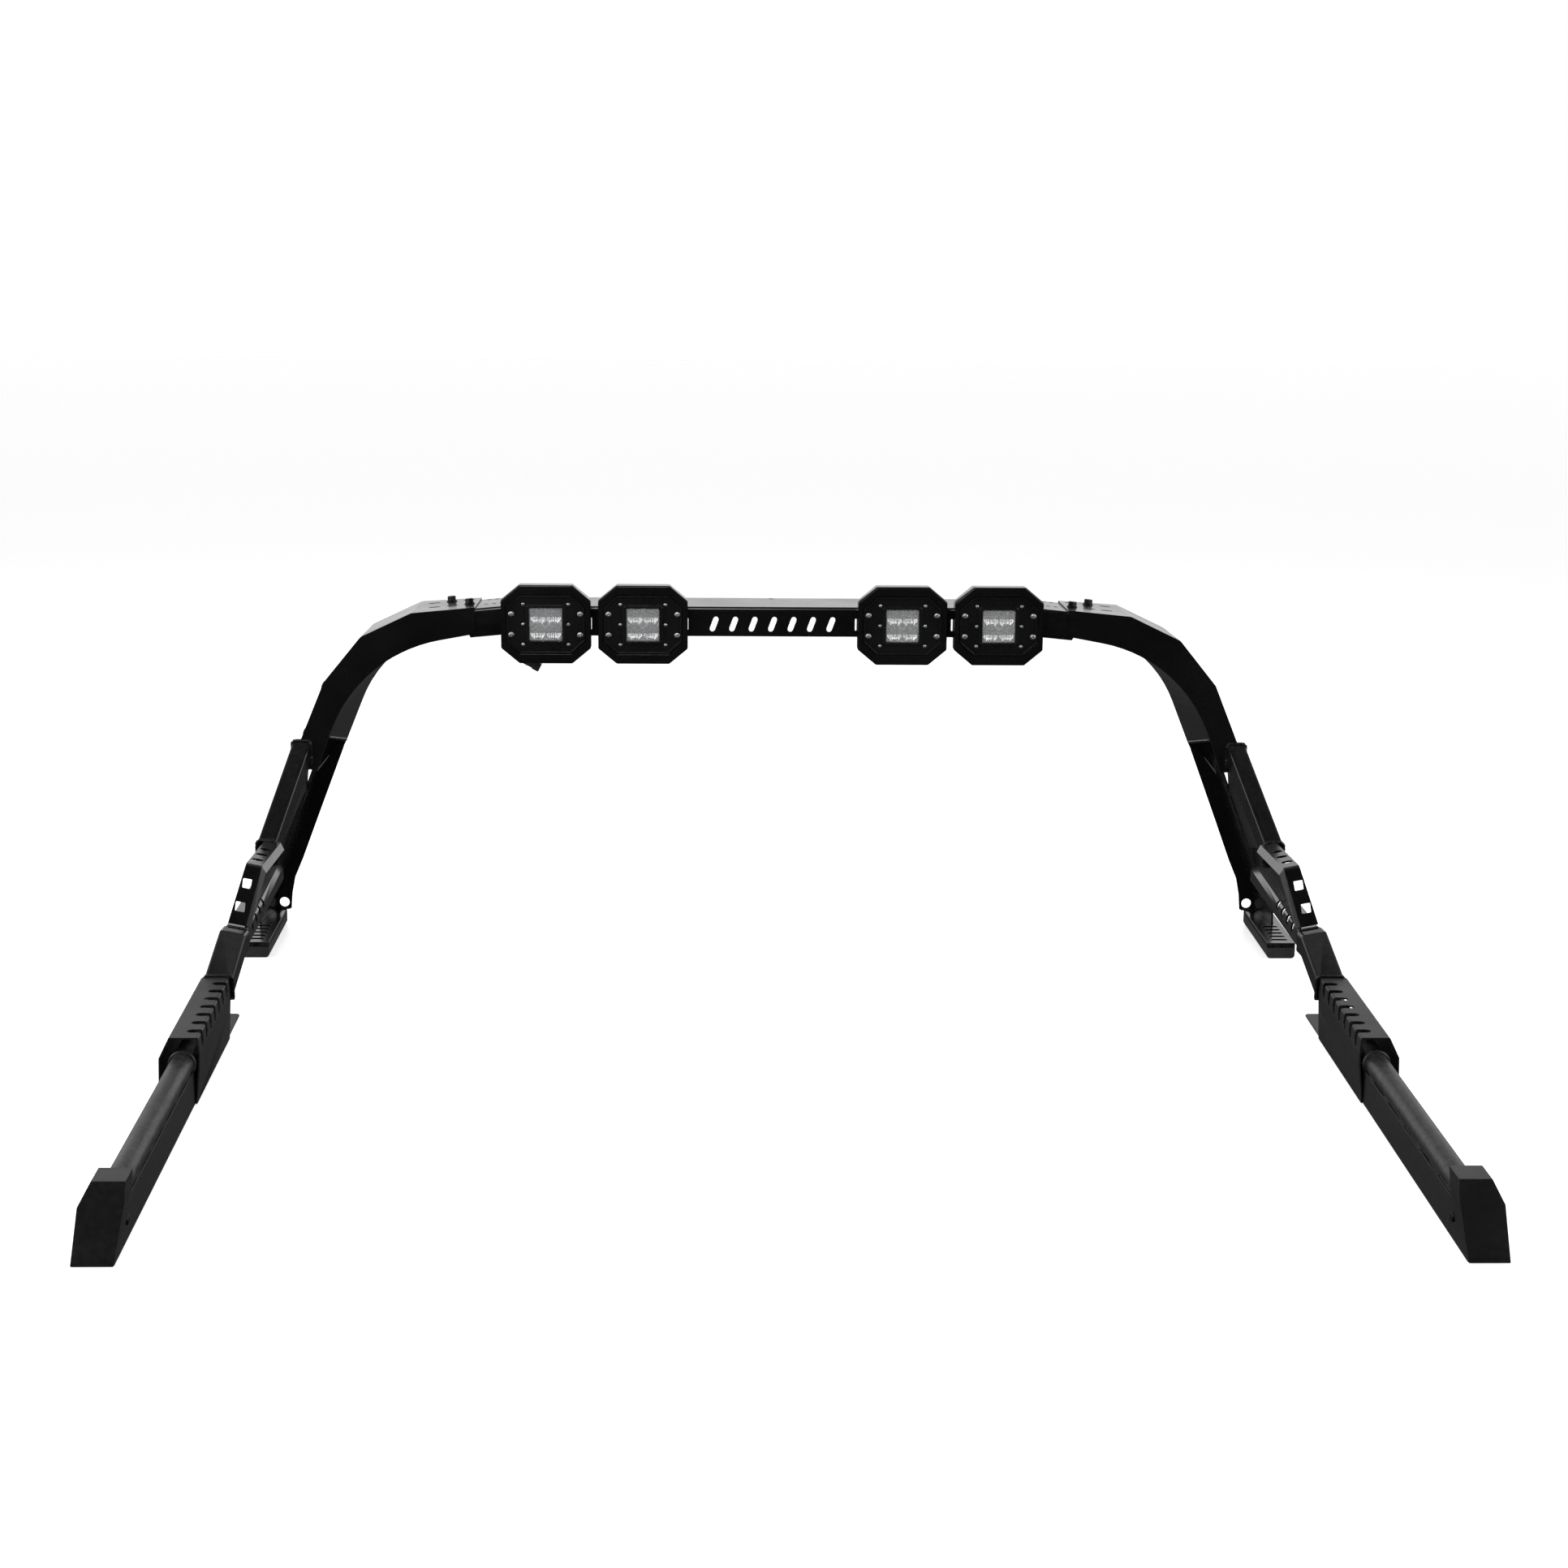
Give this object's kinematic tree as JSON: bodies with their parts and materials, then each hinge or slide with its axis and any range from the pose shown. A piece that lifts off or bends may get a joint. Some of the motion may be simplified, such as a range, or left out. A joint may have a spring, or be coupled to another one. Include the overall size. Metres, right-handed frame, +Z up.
{
  "type": "headache rack",
  "caption": "Black steel pickup headache rack: a slotted light bar on two legs, braced forward to low bed rails, its width set by clamped sliding arms.",
  "frame": {"origin": "centre of the bounding box's footprint, on the bed surface that the feet and rails stand on", "axes": "+X to the right along the crossbar, +Y towards the cab, from the rail caps to the hoop, +Z up"},
  "size_m": [1.767, 1.5125, 0.6145],
  "materials": {
    "powder_coat": "satin",
    "rail_coat": "satin",
    "pod_coat": "satin",
    "cast_black": "satin",
    "reflector_chrome": "polished",
    "lens_clear": "polished",
    "zinc_steel": "satin",
    "black_steel": "satin",
    "black_plastic": "matte",
    "foot_rubber": "matte"
  },
  "bodies": {
    "crossbar_frame": {"crossbar": "powder_coat", "pod_housing_1": "pod_coat", "light_bezel_1": "cast_black", "light_body_1": "cast_black", "reflector_1": "reflector_chrome", "lens_1": "lens_clear", "pod_housing_2": "pod_coat", "light_bezel_2": "cast_black", "light_body_2": "cast_black", "reflector_2": "reflector_chrome", "lens_2": "lens_clear", "pod_housing_3": "pod_coat", "light_bezel_3": "cast_black", "light_body_3": "cast_black", "reflector_3": "reflector_chrome", "lens_3": "lens_clear", "pod_housing_4": "pod_coat", "light_bezel_4": "cast_black", "light_body_4": "cast_black", "reflector_4": "reflector_chrome", "lens_4": "lens_clear", "light_connector": "black_plastic", "slide_bar_left": "powder_coat", "clamp_bolt_front_left": "black_steel", "clamp_bolt_back_left": "black_steel", "slide_bar_right": "powder_coat", "clamp_bolt_front_right": "black_steel", "clamp_bolt_back_right": "black_steel"},
    "side_left": {"arm_left": "powder_coat", "pivot_bolt_upper_left": "black_steel", "pivot_bolt_lower_left": "black_steel", "leg_channel_left": "powder_coat", "foot_base_left": "foot_rubber", "foot_plate_left": "powder_coat", "upper_tube_left": "powder_coat", "knee_bracket_left": "powder_coat", "brace_gusset_left": "powder_coat", "lower_bracket_left": "powder_coat", "lower_tube_left": "powder_coat", "slotted_cover_left": "rail_coat", "side_rail_left": "rail_coat", "rail_tube_left": "rail_coat", "end_cap_left": "rail_coat"},
    "side_right": {"arm_right": "powder_coat", "pivot_bolt_upper_right": "black_steel", "pivot_bolt_lower_right": "black_steel", "leg_channel_right": "powder_coat", "foot_base_right": "foot_rubber", "foot_plate_right": "powder_coat", "upper_tube_right": "powder_coat", "knee_bracket_right": "powder_coat", "brace_gusset_right": "powder_coat", "lower_bracket_right": "powder_coat", "lower_tube_right": "powder_coat", "slotted_cover_right": "rail_coat", "side_rail_right": "rail_coat", "rail_tube_right": "rail_coat", "end_cap_right": "rail_coat"}
  },
  "joints": [
    {"name": "slide_left", "type": "slide", "parent": "crossbar_frame", "child": "side_left", "axis": [-0.9952, 0, -0.0975], "range_m": [-0.0055, 0.0055]},
    {"name": "slide_right", "type": "slide", "parent": "crossbar_frame", "child": "side_right", "axis": [0.9952, 0, -0.0975], "range_m": [-0.0055, 0.0055]}
  ]
}
